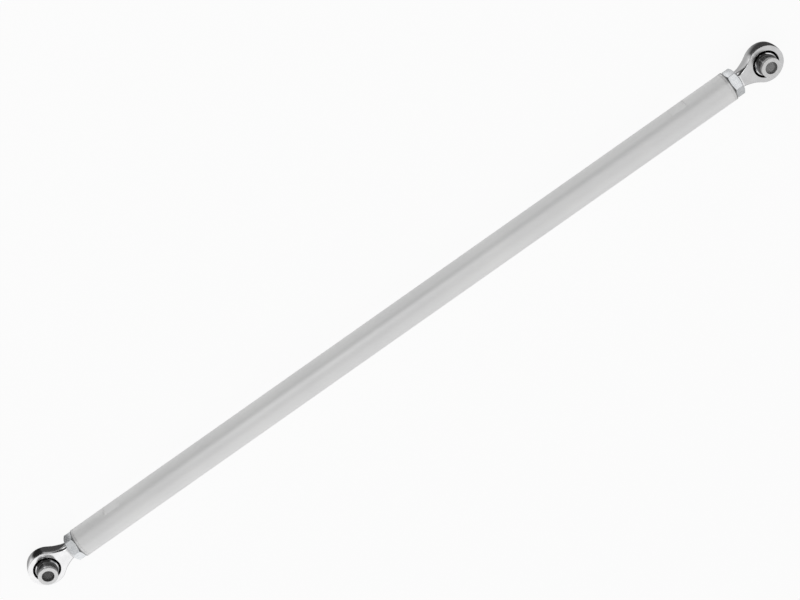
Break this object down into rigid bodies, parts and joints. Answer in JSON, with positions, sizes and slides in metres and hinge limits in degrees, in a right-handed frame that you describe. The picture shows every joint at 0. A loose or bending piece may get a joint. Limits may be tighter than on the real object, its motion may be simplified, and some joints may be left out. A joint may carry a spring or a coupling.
{
  "type": "adjustable tie rod with spherical rod ends",
  "caption": "Adjustable tie rod: a straight aluminium tube with a jam nut and a spherical rod end with misalignment spacers at each end.",
  "frame": {"origin": "midway between the two ball centres, on the tube's axis", "axes": "+X along the tube towards the end with the right-hand thread, +Z along the bolt bores, +Y across the head faces"},
  "size_m": [0.937, 0.0398, 0.0394],
  "materials": {
    "tube": "satin, drawn along its length",
    "insert": "turned, satin",
    "jam_nut": "bright zinc plate",
    "rod_end_body": "polished chrome plate",
    "race": "ground steel",
    "liner": "dark fabric bearing liner",
    "ball": "mirror polish",
    "spacer": "turned and bright plated"
  },
  "bodies": {
    "link": {"link_tube": "tube", "threaded_insert_left": "insert", "threaded_insert_right": "insert"},
    "nut_left": {"jam_nut_left": "jam_nut"},
    "rod_end_left": {"rod_end_body_left": "rod_end_body", "bearing_race_left": "race", "race_liner_left": "liner"},
    "bearing_ball_left": {"ball_left": "ball"},
    "spacers_left": {"spacer_upper_left": "spacer", "spacer_lower_left": "spacer"},
    "nut_right": {"jam_nut_right": "jam_nut"},
    "rod_end_right": {"rod_end_body_right": "rod_end_body", "bearing_race_right": "race", "race_liner_right": "liner"},
    "bearing_ball_right": {"ball_right": "ball"},
    "spacers_right": {"spacer_upper_right": "spacer", "spacer_lower_right": "spacer"}
  },
  "joints": [
    {"name": "thread_turn_left", "type": "hinge", "parent": "link", "child": "nut_left", "pos_m": [-0.41215, 0, 0], "axis": [1, 0, 0], "range_deg": [0, 2520]},
    {"name": "thread_travel_left", "type": "slide", "parent": "nut_left", "child": "rod_end_left", "axis": [-1, 0, 0], "range_m": [0, 0.00988]},
    {"name": "ball_tilt_left", "type": "hinge", "parent": "rod_end_left", "child": "bearing_ball_left", "pos_m": [-0.4486, 0, 0], "axis": [0, 1, 0], "range_deg": [-25, 25]},
    {"name": "spacer_spin_left", "type": "hinge", "parent": "bearing_ball_left", "child": "spacers_left", "pos_m": [-0.4486, 0, 0], "axis": [0, 0, 1], "continuous": true},
    {"name": "thread_turn_right", "type": "hinge", "parent": "link", "child": "nut_right", "pos_m": [0.41215, 0, 0], "axis": [1, 0, 0], "range_deg": [0, 2520]},
    {"name": "thread_travel_right", "type": "slide", "parent": "nut_right", "child": "rod_end_right", "axis": [1, 0, 0], "range_m": [0, 0.00988]},
    {"name": "ball_tilt_right", "type": "hinge", "parent": "rod_end_right", "child": "bearing_ball_right", "pos_m": [0.4486, 0, 0], "axis": [0, 1, 0], "range_deg": [-25, 25]},
    {"name": "spacer_spin_right", "type": "hinge", "parent": "bearing_ball_right", "child": "spacers_right", "pos_m": [0.4486, 0, 0], "axis": [0, 0, 1], "continuous": true}
  ],
  "couplings": [
    {"joint": "thread_turn_left", "follows": "thread_travel_left", "rad_per_m": 4452.7},
    {"joint": "thread_turn_right", "follows": "thread_travel_right", "rad_per_m": 4452.7}
  ]
}
